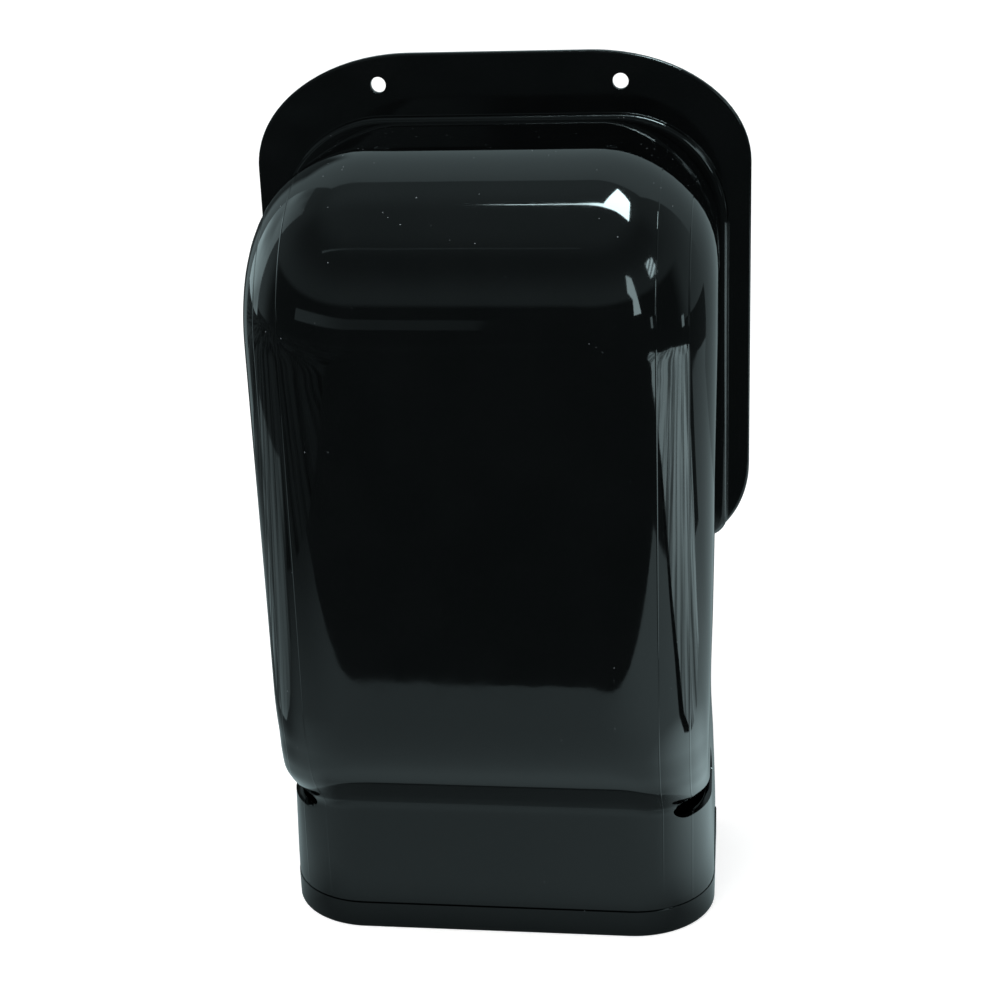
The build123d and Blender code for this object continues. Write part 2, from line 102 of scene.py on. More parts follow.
def add_camera():
    """Makes the camera from its heading, its tilt down and its roll."""
    ahead = Vector(
        (
            -math.sin(CAMERA_YAW) * math.cos(CAMERA_PITCH),
            math.cos(CAMERA_YAW) * math.cos(CAMERA_PITCH),
            -math.sin(CAMERA_PITCH),
        )
    )
    level = Vector((math.cos(CAMERA_YAW), math.sin(CAMERA_YAW), 0))
    upright = level.cross(ahead)
    right = math.cos(CAMERA_ROLL) * level + math.sin(CAMERA_ROLL) * upright
    up = -math.sin(CAMERA_ROLL) * level + math.cos(CAMERA_ROLL) * upright
    data = bpy.data.cameras.new("camera")
    data.lens = LENS
    data.sensor_width = SENSOR
    camera = bpy.data.objects.new("camera", data)
    bpy.context.scene.collection.objects.link(camera)
    turn = Matrix((right, up, -ahead)).transposed().to_4x4()
    camera.matrix_world = Matrix.Translation(CAMERA_AT) @ turn
    bpy.context.scene.camera = camera


def smooth_between(table, height):
    """Value of a (height, value) table in millimetres, eased through its points without overshoot."""
    height /= MM
    if height <= table[0][0]:
        return table[0][1] * MM
    if height >= table[-1][0]:
        return table[-1][1] * MM
    spans = list(zip(table, table[1:]))
    slopes = [(b[1] - a[1]) / (b[0] - a[0]) for a, b in spans]
    tangents = [0.0]
    for before, after in zip(slopes, slopes[1:]):
        tangents.append(0.0 if before * after <= 0 else 2 * before * after / (before + after))
    tangents.append(slopes[-1])
    for i, ((h0, v0), (h1, v1)) in enumerate(spans):
        if h0 <= height <= h1:
            t = (height - h0) / (h1 - h0)
            span = h1 - h0
            value = (2 * t**3 - 3 * t**2 + 1) * v0 + (t**3 - 2 * t**2 + t) * span * tangents[i]
            value += (3 * t**2 - 2 * t**3) * v1 + (t**3 - t**2) * span * tangents[i + 1]
            return value * MM


def ramp_depth(height):
    """Depth of the hood's front face: collar, concave root, straight ramp, convex crown, body."""
    sine, cosine = math.sin(RAMP_ANGLE), math.cos(RAMP_ANGLE)
    root_rise, root_run = RAMP_ROOT * sine, RAMP_ROOT * (1 - cosine)
    crown_rise, crown_run = RAMP_CROWN * sine, RAMP_CROWN * (1 - cosine)
    straight_run = BODY_DEPTH - COLLAR_DEPTH - root_run - crown_run
    straight_rise = straight_run * cosine / sine
    up = height - COLLAR_HEIGHT
    if up <= 0:
        return COLLAR_DEPTH
    if up <= root_rise:
        return COLLAR_DEPTH + RAMP_ROOT - math.sqrt(RAMP_ROOT**2 - up**2)
    if up <= root_rise + straight_rise:
        return COLLAR_DEPTH + root_run + (up - root_rise) * sine / cosine
    left = root_rise + straight_rise + crown_rise - up
    if left <= 0:
        return BODY_DEPTH
    return BODY_DEPTH - RAMP_CROWN + math.sqrt(RAMP_CROWN**2 - left**2)


def half_row(half, depth, corner, back, level, sides, turns, fronts):
    """Points of one level section from the wall on the right side round to the middle of the front."""
    row = []
    for i in range(sides):
        t = i / sides
        row.append(Vector((half - TAPER * (1 - t), back + t * (corner - depth - back), level)))
    for i in range(turns):
        angle = math.pi / 2 * i / turns
        across = half - corner + corner * math.cos(angle)
        row.append(Vector((across, corner - depth - corner * math.sin(angle), level)))
    for i in range(fronts + 1):
        row.append(Vector(((half - corner) * (1 - i / fronts), -depth, level)))
    return row


def spaced(start, end, count):
    """Evenly spaced values from start, short of end."""
    return [start + (end - start) * i / count for i in range(count)]


def hood_skin(mesh, inset, foot, back):
    """Adds one skin of the hood to a bmesh: level sections up to the dome's spring, then dome and top."""
    sides, turns, fronts = 12, 16, 14
    heights = spaced(foot, FINE_FOOT, FOOT_STEPS)
    heights += spaced(FINE_FOOT, FINE_HEAD, FINE_STEPS)
    heights += spaced(FINE_HEAD, SPRING, BODY_STEPS)
    rows = []
    for height in heights:
        half = smooth_between(WIDTHS, height) - inset
        corner = smooth_between(CORNERS, height) - inset
        depth = ramp_depth(height - RAMP_SHIFT * inset) - inset
        rows.append(half_row(half, depth, corner, back, height + FLOOR_Z, sides, turns, fronts))
    half = WIDTHS[-1][1] * MM - inset
    corner = CORNERS[-1][1] * MM - inset
    bend = DOME - inset
    centre = Vector((0, DOME - BODY_DEPTH, SPRING + FLOOR_Z))
    for step in range(DOME_STEPS + 1):
        lean = math.pi / 2 * step / DOME_STEPS
        out = Vector((0, -math.cos(lean), math.sin(lean)))
        row = []
        edge = centre + out * (bend - corner)
        for i in range(sides):
            t = i / sides
            row.append(Vector((half - TAPER * (1 - t), back + t * (edge.y - back), edge.z)))
        row += corner_points(half, corner, centre + out * bend, out, turns, fronts)
        rows.append(row)
    stitch(mesh, rows)
    roof = []
    for i in range(sides + 1):
        t = i / sides
        point = Vector((0, back + t * (centre.y - back), centre.z + bend))
        squeeze = half - TAPER * (1 - t)
        roof.append(corner_points(squeeze, corner, point, Vector((0, 0, 1)), turns, fronts))
    stitch(mesh, list(reversed(roof)))


def corner_points(half, corner, crest, out, turns, fronts):
    """Points from the side wall round the corner to the middle, for a crest line that faces out."""
    row = []
    for i in range(turns):
        angle = math.pi / 2 * i / turns
        across = half - corner + corner * math.cos(angle)
        row.append(crest + Vector((across, 0, 0)) - out * corner * (1 - math.sin(angle)))
    for i in range(fronts + 1):
        row.append(crest + Vector(((half - corner) * (1 - i / fronts), 0, 0)))
    return row


def stitch(mesh, rows):
    """Joins rows of points into quads, on the right side and mirrored on the left."""
    for side in (1, -1):
        grid = [[mesh.verts.new((p.x * side, p.y, p.z)) for p in row] for row in rows]
        for lower, upper in zip(grid, grid[1:]):
            for i in range(len(lower) - 1):
                corners = [lower[i], lower[i + 1], upper[i + 1], upper[i]]
                mesh.faces.new(corners if side > 0 else corners[::-1])


def make_hood():
    """The hood as a closed shell with its slots cut and every edge eased."""
    mesh = bmesh.new()
    hood_skin(mesh, 0.0, HOOD_FOOT, HOOD_BACK)
    bmesh.ops.remove_doubles(mesh, verts=mesh.verts, dist=JOINED)
    inner_mesh = bmesh.new()
    hood_skin(inner_mesh, WALL, HOOD_FOOT, HOOD_BACK)
    bmesh.ops.remove_doubles(inner_mesh, verts=inner_mesh.verts, dist=JOINED)
    bmesh.ops.reverse_faces(inner_mesh, faces=inner_mesh.faces)
    scratch = bpy.data.meshes.new("scratch")
    inner_mesh.to_mesh(scratch)
    mesh.from_mesh(scratch)
    bpy.data.meshes.remove(scratch)
    open_edges = [edge for edge in mesh.edges if edge.is_boundary]
    bmesh.ops.bridge_loops(mesh, edges=open_edges)
    bmesh.ops.recalc_face_normals(mesh, faces=mesh.faces)
    data = bpy.data.meshes.new("hood_shell")
    mesh.to_mesh(data)
    mesh.free()
    inner_mesh.free()
    hood = bpy.data.objects.new("hood_shell", data)
    bpy.context.scene.collection.objects.link(hood)
    cut_slots(hood)
    return hood


def slot_cutter():
    """A bar through both sides with the slots' rounded outline."""
    mesh = bmesh.new()
    reach = 0.1
    turns = 24
    radius = SLOT_HEIGHT / 2
    level = SLOT_MIDDLE + FLOOR_Z
    outline = []
    for centre, start in ((SLOT_FRONT + radius, math.pi / 2), (SLOT_BACK - radius, -math.pi / 2)):
        for i in range(turns + 1):
            angle = start + math.pi * i / turns
            outline.append((centre + radius * math.cos(angle), level + radius * math.sin(angle)))
    left = [mesh.verts.new((-reach, y, z)) for y, z in outline]
    right = [mesh.verts.new((reach, y, z)) for y, z in outline]
    mesh.faces.new(left)
    mesh.faces.new(right[::-1])
    for i in range(len(outline)):
        j = (i + 1) % len(outline)
        mesh.faces.new([left[i], right[i], right[j], left[j]])
    bmesh.ops.recalc_face_normals(mesh, faces=mesh.faces)
    data = bpy.data.meshes.new("slot_cutter")
    mesh.to_mesh(data)
    mesh.free()
    cutter = bpy.data.objects.new("slot_cutter", data)
    bpy.context.scene.collection.objects.link(cutter)
    return cutter


def apply_modifiers(piece):
    """Turns what the modifiers make into the piece's own mesh."""
    graph = bpy.context.evaluated_depsgraph_get()
    data = bpy.data.meshes.new_from_object(piece.evaluated_get(graph))
    piece.modifiers.clear()
    piece.data = data


def cut_slots(hood):
    """Cuts the side slots out of the shell and eases all its sharp edges."""
    cutter = slot_cutter()
    cut = hood.modifiers.new("slots", "BOOLEAN")
    cut.operation = "DIFFERENCE"
    cut.solver = "EXACT"
    cut.object = cutter
    apply_modifiers(hood)
    bpy.data.objects.remove(cutter)
    ease = hood.modifiers.new("ease", "BEVEL")
    ease.width = EDGE_WIDTH
    ease.segments = 3
    ease.limit_method = "ANGLE"
    ease.angle_limit = EDGE_FOLD
    apply_modifiers(hood)


class Pattern:
    """A node material under construction; a place on the piece is in its own coordinates, in metres."""

    def __init__(self, name):
        self.material = bpy.data.materials.new(name)
        self.material.use_nodes = True
        self.tree = self.material.node_tree
        self.shader = self.tree.nodes["Principled BSDF"]
        self.place = self.node("ShaderNodeTexCoord").outputs["Object"]

    def node(self, kind, inputs=None, **settings):
        """Adds a node, sets its own settings, then its inputs, each from a socket or a constant."""
        node = self.tree.nodes.new(kind)
        for key, value in settings.items():
            setattr(node, key, value)
        for key, value in (inputs or {}).items():
            self.feed(node.inputs[key], value)
        return node

    def feed(self, socket, value):
        if isinstance(value, bpy.types.NodeSocket):
            self.tree.links.new(value, socket)
        else:
            socket.default_value = value

    def maths(self, operation, a, b=0.0):
        return self.node("ShaderNodeMath", {0: a, 1: b}, operation=operation).outputs[0]

    def ease(self, value, low, high, start=0.0, end=1.0):
        """Goes from start to end as value goes from low to high, with soft ends."""
        values = {"Value": value, "From Min": low, "From Max": high, "To Min": start, "To Max": end}
        return self.node("ShaderNodeMapRange", values, interpolation_type="SMOOTHSTEP").outputs["Result"]

    def noise(self, per_metre, detail=3.0, roughness=0.5, place=None):
        values = {"Vector": place or self.place, "Scale": per_metre, "Detail": detail, "Roughness": roughness}
        return self.node("ShaderNodeTexNoise", values).outputs["Fac"]

    def stretched(self, x, y, z):
        """The piece's coordinates, scaled differently along each axis, for brushed or streaky detail."""
        return self.node("ShaderNodeMapping", {"Vector": self.place, "Scale": (x, y, z)}).outputs["Vector"]

    def mix(self, share, first, second):
        node = self.node("ShaderNodeMix", data_type="RGBA")
        for socket, value in zip((node.inputs[0], node.inputs[6], node.inputs[7]), (share, first, second)):
            self.feed(socket, value)
        return node.outputs[2]

    def bump(self, height, depth, under=None):
        """A bump of a real depth in metres, laid over another one."""
        values = {"Height": height, "Distance": depth, "Strength": 1.0}
        if under:
            values["Normal"] = under
        return self.node("ShaderNodeBump", values).outputs["Normal"]

    def round_edges(self, radius):
        """The normal with sharp edges eased over a radius."""
        return self.node("ShaderNodeBevel", {"Radius": radius}, samples=6).outputs["Normal"]

    def facing_up(self):
        normal = self.node("ShaderNodeNewGeometry").outputs["Normal"]
        return self.node("ShaderNodeSeparateXYZ", {"Vector": normal}).outputs["Z"]

    def edges(self):
        """1 on sharp outer edges, 0 elsewhere."""
        return self.ease(self.node("ShaderNodeNewGeometry").outputs["Pointiness"], 0.52, 0.6)

    def finish(self, colour, roughness, normal, **constants):
        self.feed(self.shader.inputs["Base Color"], colour)
        self.feed(self.shader.inputs["Roughness"], roughness)
        self.feed(self.shader.inputs["Normal"], normal)
        for key, value in constants.items():
            self.shader.inputs[key.replace("_", " ")].default_value = value
        return self.material


class WorldPattern(Pattern):
    """The same for the world, where a place is a direction."""

    def __init__(self, world):
        world.use_nodes = True
        self.tree = world.node_tree
        self.tree.nodes.clear()
        self.place = self.node("ShaderNodeTexCoord").outputs["Generated"]


def grey(value, cool=1.0):
    """A grey with a trace of blue-green, as moulded black plastic has."""
    return (value * (1 - 0.12 * cool), value, value * (1 + 0.08 * cool), 1.0)


def add_dust(pattern, amount):
    """Share of dust at each point: scattered specks, far more on what faces up."""
    cells = pattern.node("ShaderNodeTexVoronoi", {"Vector": pattern.place, "Scale": 520.0})
    pick = pattern.node("ShaderNodeSeparateColor", {"Color": cells.outputs["Color"]})
    size = pattern.ease(pick.outputs["Red"], 0.7, 1.0, 0.0, 0.11)
    speck = pattern.ease(pattern.maths("SUBTRACT", size, cells.outputs["Distance"]), 0.0, 0.03)
    share = pattern.ease(pattern.facing_up(), -0.2, 0.9, amount * 0.12, amount)
    chosen = pattern.maths("LESS_THAN", pick.outputs["Green"], share)
    return pattern.maths("MULTIPLY", speck, chosen)


SINK_DEPTH, RIPPLE_DEPTH, SPECK_DEPTH = 0.09 * MM, 0.0022 * MM, 0.03 * MM
MOULD_LINES = (57.5 * MM, 67.0 * MM)  # how far from the middle
LINE_WIDTH, LINE_DEPTH = 0.3 * MM, 0.06 * MM


def gloss_plastic(name, shine, dust, lines=False, ease=None, gleam=0.5):
    """Black moulded plastic with a polished skin: faint sink waves, fine ripple, scuffs and dust."""
    pattern = Pattern(name)
    specks = add_dust(pattern, dust)
    mottle = pattern.noise(38.0, 4.0, 0.6)
    skin = pattern.mix(pattern.ease(mottle, 0.3, 0.7), grey(0.0008), grey(0.0016))
    colour = pattern.mix(specks, skin, grey(0.30))
    scuffs = pattern.ease(pattern.noise(1.0, 6.0, 0.7, pattern.stretched(900, 900, 60)), 0.62, 0.8)
    rough = pattern.ease(pattern.noise(70.0, 5.0, 0.65), 0.3, 0.75, shine, shine + 0.045)
    rough = pattern.maths("ADD", rough, pattern.maths("MULTIPLY", scuffs, 0.06))
    rough = pattern.maths("ADD", rough, pattern.maths("MULTIPLY", pattern.edges(), 0.12))
    rough = pattern.maths("ADD", rough, pattern.maths("MULTIPLY", specks, 0.6))
    normal = pattern.round_edges(ease) if ease else None
    normal = pattern.bump(pattern.noise(26.0, 2.0), SINK_DEPTH, normal)
    normal = pattern.bump(pattern.noise(330.0, 2.0), RIPPLE_DEPTH, normal)
    normal = pattern.bump(specks, SPECK_DEPTH, normal)
    if lines:
        normal = pattern.bump(mould_lines(pattern), LINE_DEPTH, normal)
    return pattern.finish(colour, rough, normal, IOR=1.5, Specular_IOR_Level=gleam)


def mould_lines(pattern):
    """Two fine raised witness lines down each side of the hood, left by the mould's sliding blocks."""
    place = pattern.node("ShaderNodeSeparateXYZ", {"Vector": pattern.place})
    across = pattern.maths("ABSOLUTE", place.outputs["X"])
    height = 0.0
    for line in MOULD_LINES:
        off = pattern.maths("ABSOLUTE", pattern.maths("SUBTRACT", across, line))
        height = pattern.maths("ADD", height, pattern.ease(off, 0.0, LINE_WIDTH, 1.0, 0.0))
    return height


def satin_plastic(name, tone, texture):
    """Plain moulded plastic with a fine spark-eroded texture."""
    pattern = Pattern(name)
    specks = add_dust(pattern, 0.25)
    mottle = pattern.noise(55.0, 4.0, 0.6)
    skin = pattern.mix(pattern.ease(mottle, 0.3, 0.7), grey(tone), grey(tone * 1.5))
    skin = pattern.mix(pattern.edges(), skin, grey(tone * 2.6))
    colour = pattern.mix(specks, skin, grey(0.25))
    grain = pattern.noise(2600.0, 2.0)
    rough = pattern.ease(grain, 0.3, 0.7, 0.38, 0.52)
    normal = pattern.bump(pattern.noise(30.0, 2.0), 0.08 * MM)
    normal = pattern.bump(grain, texture, normal)
    return pattern.finish(colour, rough, normal, IOR=1.49)


def foam_material():
    """Closed-cell foam strip: small open pores, with painted shade darkening their hollows, and a slightly
    fuzzy dark grey.
    """
    pattern = Pattern("foam_cells")
    cells = pattern.node("ShaderNodeTexVoronoi", {"Vector": pattern.place, "Scale": 1900.0})
    pores_and_pore_shade = pattern.ease(cells.outputs["Distance"], 0.1, 0.55)
    # painted shade: the pore hollows are coloured darker than the cell walls; the same mask also gives the
    # pores their bump
    colour = pattern.mix(pores_and_pore_shade, grey(0.012), grey(0.045))
    rough = pattern.ease(pattern.noise(300.0), 0.3, 0.7, 0.85, 0.97)
    normal = pattern.bump(pores_and_pore_shade, 0.18 * MM)
    return pattern.finish(colour, rough, normal, Sheen_Weight=0.25, Sheen_Roughness=0.5)


def rubber_material():
    """Soft black rubber with talc bloom and a slight skin texture."""
    pattern = Pattern("seal_rubber")
    bloom = pattern.ease(pattern.noise(120.0, 5.0, 0.7), 0.45, 0.75)
    colour = pattern.mix(bloom, grey(0.011, 0.3), grey(0.032, 0.3))
    rough = pattern.ease(pattern.noise(900.0), 0.3, 0.7, 0.58, 0.78)
    normal = pattern.bump(pattern.noise(1300.0, 3.0), 0.04 * MM)
    return pattern.finish(colour, rough, normal, IOR=1.52)


def steel_material():
    """Plated steel, brushed along its length, with slight tarnish."""
    pattern = Pattern("plated_steel")
    brush = pattern.noise(1.0, 4.0, 0.6, pattern.stretched(900, 300, 9000))
    tarnish = pattern.ease(pattern.noise(180.0, 5.0, 0.65), 0.45, 0.75)
    colour = pattern.mix(tarnish, (0.62, 0.62, 0.60, 1.0), (0.40, 0.38, 0.34, 1.0))
    rough = pattern.ease(brush, 0.3, 0.7, 0.18, 0.34)
    rough = pattern.maths("ADD", rough, pattern.maths("MULTIPLY", tarnish, 0.12))
    normal = pattern.bump(brush, 0.012 * MM)
    return pattern.finish(colour, rough, normal, Metallic=1.0)


def dress(piece, material):
    """Gives a piece one material throughout."""
    if not piece.data.materials:
        piece.data.materials.append(material)
    for place in piece.material_slots:
        place.material = material


# --- studio: a white table, a dark room and a few lights that only the gloss shows ---
TINT = (0.80, 1.05, 1.09)
ROOM_LIGHT = 0.066
TABLE_FRONT, TABLE_BACK = -0.325, 0.36  # where the gloss sees the table end
TABLE_LEFT, TABLE_RIGHT = -0.42, 0.42
SKY = 3.0  # how far off the distant cards are
CEILING = 2.0
ON_TABLE, OVER_TABLE = 1 * MM, 2 * MM  # heights of the flags and of the patches laid over them
FLOOR_REACH = 6.0
FLOOR_GLOW = 0.62  # brings the table to white for the camera
SOFT_LIGHT = 0.62  # even light on what isn't glossy


def light_card(name, corners, level, pattern=None):
    """A flat light, or a dark flag, that shows only in reflections. A pattern function may vary its level."""
    data = bpy.data.meshes.new(name)
    data.from_pydata([tuple(corner) for corner in corners], [], [tuple(range(len(corners)))])
    panel = bpy.data.objects.new(name, data)
    bpy.context.scene.collection.objects.link(panel)
    look = Pattern(name)
    look.tree.nodes.remove(look.shader)
    glow = look.node("ShaderNodeEmission", {"Color": (*TINT, 1.0), "Strength": level})
    if pattern:
        look.feed(glow.inputs["Strength"], pattern(look, level))
    output = look.tree.nodes["Material Output"]
    look.feed(output.inputs["Surface"], glow.outputs["Emission"])
    data.materials.append(look.material)
    panel.visible_camera = False
    panel.visible_diffuse = False
    panel.visible_shadow = False


def heading(azimuth, elevation):
    """Direction at an azimuth from the viewer's side, positive to the right, and an elevation, in degrees."""
    turn, rise = math.radians(azimuth), math.radians(elevation)
    return Vector((math.sin(turn) * math.cos(rise), -math.cos(turn) * math.cos(rise), math.sin(rise)))


def far_card(name, azimuths, elevations, level, pattern=None):
    """A light far off that fills a span of azimuth and of elevation, seen from the hood."""
    (west, east), (low, high) = azimuths, elevations
    corners = [(west, low), (east, low), (east, high), (west, high)]
    light_card(name, [heading(*corner) * SKY for corner in corners], level, pattern)


def flat_card(name, outline, level, pattern=None, lift=ON_TABLE):
    """A light or flag lying just over the table."""
    light_card(name, [(x, y, FLOOR_Z + lift) for x, y in outline], level, pattern)


def ceiling_card(name, outline, level, pattern=None):
    """A light on the ceiling; its outline is in ceiling heights."""
    light_card(name, [(x * CEILING, y * CEILING, CEILING) for x, y in outline], level, pattern)


def slats(look, level):
    """Streaks of light and shade that brighten away from the cover."""
    place = look.node("ShaderNodeSeparateXYZ", {"Vector": look.place})
    far = look.ease(place.outputs["X"], 0.15, 0.65, 0.45, 1.0)
    turn = {"Vector": look.place, "Rotation": (0, 0, math.radians(22)), "Scale": (2.2, 30.0, 1.0)}
    turned = look.node("ShaderNodeMapping", turn)
    streak = look.noise(1.0, 3.0, 0.6, turned.outputs["Vector"])
    shade = look.ease(streak, 0.38, 0.58, 0.22, 1.0)
    return look.maths("MULTIPLY", look.maths("MULTIPLY", far, shade), level)


def streaks(look, level):
    """Soft uneven streaks that run out from the cover."""
    streak = look.noise(1.0, 3.0, 0.6, look.stretched(1.6, 22.0, 1.0))
    return look.maths("MULTIPLY", look.ease(streak, 0.36, 0.62, 0.2, 1.0), level)


def panes(look, level):
    """A window with glazing bars."""
    place = look.node("ShaderNodeSeparateXYZ", {"Vector": look.place})
    wave = look.maths("SINE", look.maths("MULTIPLY", place.outputs["X"], 70.0))
    return look.maths("MULTIPLY", look.ease(wave, -0.2, 0.2, 0.25, 1.0), level)


def fade_right(look, level):
    """Dimmer towards the right."""
    place = look.node("ShaderNodeSeparateXYZ", {"Vector": look.place})
    return look.ease(place.outputs["X"], -1.8, -0.3, level, level * 0.45)


def board_shade(look, level):
    """Brighter towards the top, with a dark gap low on the left."""
    place = look.node("ShaderNodeSeparateXYZ", {"Vector": look.place})
    across, up = place.outputs["X"], place.outputs["Z"]
    glow = look.ease(up, FLOOR_Z + 0.2, FLOOR_Z + 1.0, level, level * 1.7)
    gap = look.maths("MULTIPLY", look.ease(across, -0.38, -0.31), look.ease(across, -0.22, -0.15, 1.0, 0.0))
    gap = look.maths("MULTIPLY", gap, look.ease(up, 0.26, 0.36, 0.85, 0.0))
    return look.maths("MULTIPLY", glow, look.maths("SUBTRACT", 1.0, gap))


def window_shade(look, level):
    """Brightest low down, with soft uneven sides."""
    place = look.node("ShaderNodeSeparateXYZ", {"Vector": look.place})
    glow = look.ease(place.outputs["Z"], 0.2, 2.1, level, level * 0.4)
    return look.maths("MULTIPLY", glow, look.ease(look.noise(0.9, 2.0), 0.3, 0.55, 0.55, 1.0))


def table_light(look):
    """The table as the gloss shows it: lit from the right, shaded round the cover's foot."""
    parts = look.node("ShaderNodeSeparateXYZ", {"Vector": look.place})
    x, y = parts.outputs["X"], parts.outputs["Y"]
    aside = look.maths("MAXIMUM", look.maths("SUBTRACT", look.maths("ABSOLUTE", x), WIDTHS[0][1] * MM), 0.0)
    ahead = look.maths("MAXIMUM", look.maths("SUBTRACT", look.maths("MULTIPLY", y, -1.0), COLLAR_DEPTH), 0.0)
    squares = look.maths("ADD", look.maths("POWER", aside, 2.0), look.maths("POWER", ahead, 2.0))
    clear = look.ease(look.maths("SQRT", squares), -0.03, 0.035, 0.0, 1.0)
    across = look.maths("ADD", look.ease(x, -0.45, -0.12, 0.12, 0.46), look.ease(x, -0.05, 0.25, 0.0, 0.28))
    near = look.node("ShaderNodeVectorMath", {0: look.place, 1: (0.17, -0.05, FLOOR_Z)}, operation="DISTANCE")
    patch = look.ease(near.outputs["Value"], 0.02, 0.12, 0.9, 0.0)
    level = look.maths("MULTIPLY", look.maths("ADD", across, patch), clear)
    level = look.maths("MULTIPLY", level, look.ease(y, -0.02, 0.16, 1.0, 0.6))
    left = look.ease(x, -0.20, -0.09, 1.0, 0.0)
    shaded = look.maths("MULTIPLY", look.ease(y, -0.14, -0.03), look.ease(y, 0.08, 0.2, 1.0, 0.0))
    shaded = look.maths("MULTIPLY", look.maths("MULTIPLY", shaded, left), 0.8)
    return look.maths("MULTIPLY", level, look.maths("SUBTRACT", 1.0, shaded))


def add_floor():
    """The white table. It goes down with the outlet ring, which is drawn out below the rest of the cover."""
    data = bpy.data.meshes.new("floor")
    corners = [(x * FLOOR_REACH, y * FLOOR_REACH) for x, y in ((-1, -1), (1, -1), (1, 1), (-1, 1))]
    data.from_pydata([(x, y, FLOOR_Z) for x, y in corners], [], [(0, 1, 2, 3)])
    floor = bpy.data.objects.new("floor", data)
    bpy.context.scene.collection.objects.link(floor)
    look = Pattern("floor_paint")
    rays = look.node("ShaderNodeLightPath")
    paint = look.mix(look.noise(4.0), (0.82, 0.83, 0.83, 1), (0.85, 0.85, 0.85, 1))
    look.feed(look.shader.inputs["Base Color"], paint)
    look.shader.inputs["Roughness"].default_value = 0.9
    look.shader.inputs["Specular IOR Level"].default_value = 0.0
    look.shader.inputs["Emission Color"].default_value = (1, 1, 1, 1)
    white = look.maths("MULTIPLY", rays.outputs["Is Camera Ray"], FLOOR_GLOW)
    look.feed(look.shader.inputs["Emission Strength"], white)
    mirrored = look.node("ShaderNodeEmission", {"Color": (*TINT, 1.0), "Strength": table_light(look)})
    both = {0: rays.outputs["Is Glossy Ray"], 1: look.shader.outputs["BSDF"], 2: mirrored.outputs["Emission"]}
    surface = look.node("ShaderNodeMixShader", both).outputs["Shader"]
    look.feed(look.tree.nodes["Material Output"].inputs["Surface"], surface)
    data.materials.append(look.material)
    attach(floor, "outlet")


def add_table_cards():
    """Dark flags beyond the table's edges, and patches of light that lie on it."""
    far = FLOOR_REACH + 1.0
    flat_card(
        "flag_front",
        [(TABLE_LEFT, -far), (far, -far), (far, TABLE_FRONT), (TABLE_LEFT, TABLE_FRONT)],
        ROOM_LIGHT,
    )
    flat_card("flag_left", [(-far, -far), (TABLE_LEFT, -far), (TABLE_LEFT, far), (-far, far)], 0.12, streaks)
    flat_card(
        "flag_right",
        [(TABLE_RIGHT, TABLE_FRONT), (far, TABLE_FRONT), (far, 0.12), (TABLE_RIGHT, 0.12)],
        ROOM_LIGHT,
    )
    flat_card("flag_far_right", [(0.74, 0.12), (far, 0.12), (far, far), (0.74, far)], ROOM_LIGHT)
    near_side = [(0.19, -0.04), (0.31, -0.10), (0.42, -0.18), (0.55, -0.29), (0.78, -0.62)]
    far_side = [(1.05, -0.75), (1.0, -0.5), (1.15, -0.3), (1.05, 0.05)]
    far_side += [(0.45, 0.07), (0.28, 0.05), (0.21, -0.01)]
    flat_card("sunlit_patch", near_side + far_side, 3.0, slats, OVER_TABLE)
    rim = [(x + 0.004, y - 0.03) for x, y in near_side]
    flat_card("patch_edge", rim + near_side[::-1], 0.03, None, OVER_TABLE)
    glow = [(-0.20, -0.03), (-0.34, -0.10), (-0.60, -0.12), (-0.66, 0.20), (-0.30, 0.16), (-0.20, 0.06)]
    flat_card("left_patch", glow, 0.5, streaks, OVER_TABLE)


def add_room_cards():
    """The room's lights, windows and walls, as far as the gloss shows them."""
    foot, head = FLOOR_Z, FLOOR_Z + 1.2
    board = [(-0.5, foot), (0.6, foot), (0.6, head), (-0.5, head)]
    light_card("back_board", [(x, TABLE_BACK, z) for x, z in board], 0.30, board_shade)

    # flags inside the screw holes, so that the hood's top doesn't mirror light through them
    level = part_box("base_plate")[1].z - SCREW_DROP
    points = 16
    turns = spaced(0.0, math.tau, points)
    for name, across in (("left_hole_flag", -SCREW_ASIDE), ("right_hole_flag", SCREW_ASIDE)):
        disc = [(across + HOLE_FLAG * math.cos(turn), level + HOLE_FLAG * math.sin(turn)) for turn in turns]
        light_card(name, [(x, -HOLE_FLAG_DEPTH, z) for x, z in disc], 0.01)

    far_card("left_window", (-134, -108), (-5, 44), 1.4, window_shade)
    far_card("left_sill", (-152, -96), (-16, -7), 0.5, window_shade)
    far_card("shelf_band", (-58, -8), (8, 14), 0.36, fade_right)
    far_card("right_window", (66, 76), (28, 37), 8.0, panes)
    hook = [(42, 37), (47, 34), (50, 13), (43, 13), (44, 22), (40, 27)]
    light_card("lit_doorway", [heading(*corner) * SKY for corner in hook], 5.0)
    far_card("far_lamp_a", (58, 60), (3, 9), 1.6)
    far_card("far_lamp_b", (91, 94), (-5, 1), 2.0)
    lamp = [(0.148, 0.03), (0.277, 0.327), (0.471, 0.194), (0.535, -0.08), (0.31, -0.03), (0.16, -0.02)]
    ceiling_card("ceiling_lamp", lamp, 26.0)
    ceiling_card("ceiling_tail", [(-0.14, 0.011), (0.16, -0.02), (0.15, 0.03)], 22.0)
    tube = [(-0.66, -0.54), (-0.05, -0.60), (-0.05, -0.612), (-0.66, -0.575)]
    ceiling_card("tube", tube, 0.8, fade_right)


def add_key_light():
    """A soft light from the front left that gives the matt pieces their shape."""
    data = bpy.data.lights.new("key", "AREA")
    data.energy = 6.0
    data.size = 0.9
    key = bpy.data.objects.new("key", data)
    key.location = (-0.5, -0.9, 0.9)
    key.rotation_euler = (-key.location).to_track_quat("-Z", "Y").to_euler()
    key.visible_glossy = False
    bpy.context.scene.collection.objects.link(key)


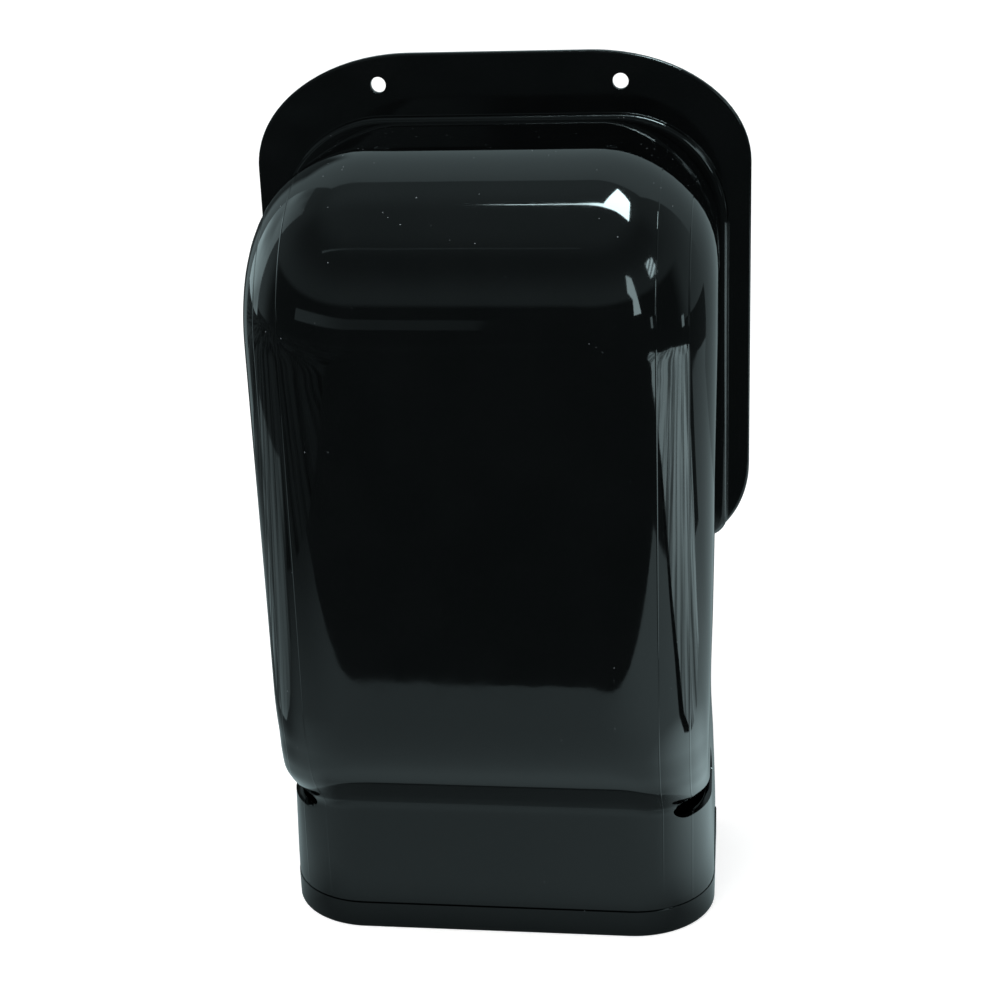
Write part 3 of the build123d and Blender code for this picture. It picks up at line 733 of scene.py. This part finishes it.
def add_world():
    """White for the camera, a soft even light for matt surfaces, and a dim room for reflections."""
    world = bpy.data.worlds.new("studio")
    bpy.context.scene.world = world
    look = WorldPattern(world)
    parts = look.node("ShaderNodeSeparateXYZ", {"Vector": look.place})
    up = parts.outputs["Z"]
    front = look.ease(up, 0.36, 0.42, ROOM_LIGHT, 0.23)
    front = look.maths("ADD", front, look.ease(up, 0.45, 0.75, 0.0, -0.11))
    front = look.maths("ADD", front, look.ease(up, 0.78, 0.95, 0.0, 0.10))
    back = look.ease(up, 0.1, 0.7, 0.30, 0.19)
    back = look.maths("ADD", back, look.ease(up, 0.8, 0.97, 0.0, 0.10))
    behind = look.ease(parts.outputs["Y"], -0.05, 0.25)
    front = look.maths("MULTIPLY", front, look.maths("SUBTRACT", 1.0, behind))
    level = look.maths("ADD", front, look.maths("MULTIPLY", back, behind))
    room = look.node("ShaderNodeBackground", {"Color": (*TINT, 1.0), "Strength": level})
    soft = look.node("ShaderNodeBackground", {"Color": (1, 1, 1, 1), "Strength": SOFT_LIGHT})
    white = look.node("ShaderNodeBackground", {"Color": (1, 1, 1, 1), "Strength": 1.0})
    rays = look.node("ShaderNodeLightPath")
    seen = {0: rays.outputs["Is Glossy Ray"], 1: soft.outputs[0], 2: room.outputs[0]}
    inner = look.node("ShaderNodeMixShader", seen)
    seen = {0: rays.outputs["Is Camera Ray"], 1: inner.outputs[0], 2: white.outputs[0]}
    outer = look.node("ShaderNodeMixShader", seen)
    output = look.node("ShaderNodeOutputWorld")
    look.feed(output.inputs["Surface"], outer.outputs[0])


add_camera()
hood = make_hood()
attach(hood, "hood")
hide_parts("hood")

black_hood = gloss_plastic("hood_gloss", 0.03, 0.8, lines=True)
black_base = gloss_plastic("base_gloss", 0.05, 0.3, ease=0.4 * MM)
black_ring = gloss_plastic("ring_gloss", 0.06, 0.2, ease=0.3 * MM, gleam=0.38)
sleeve_satin = satin_plastic("sleeve_satin", 0.012, 0.006 * MM)
flap_satin = satin_plastic("flap_satin", 0.016, 0.005 * MM)
screen_satin = satin_plastic("screen_satin", 0.010, 0.006 * MM)
foam = foam_material()
rubber = rubber_material()
steel = steel_material()
finishes = {
    "base_plate": black_base,
    "outlet_ring": black_ring,
    "duct_sleeve": sleeve_satin,
    "damper_flap": flap_satin,
    "pest_screen": screen_satin,
    "wall_gasket": foam,
    "sleeve_seal": rubber,
    "damper_seal": rubber,
    "sleeve_screws": steel,
    "damper_pin": steel,
    "pin_rings": steel,
    "spring_clip_left": steel,
    "spring_clip_right": steel,
    "hood": black_hood,
}
for name, material in finishes.items():
    dress(nodes[name], material)
dress(hood, black_hood)
for piece in list(nodes.values()) + [hood]:
    piece.data.shade_smooth()
    piece.data.set_sharp_from_angle(angle=SHARP)

add_floor()
add_table_cards()
add_room_cards()
add_key_light()
add_world()
bpy.context.scene.view_settings.view_transform = "Standard"
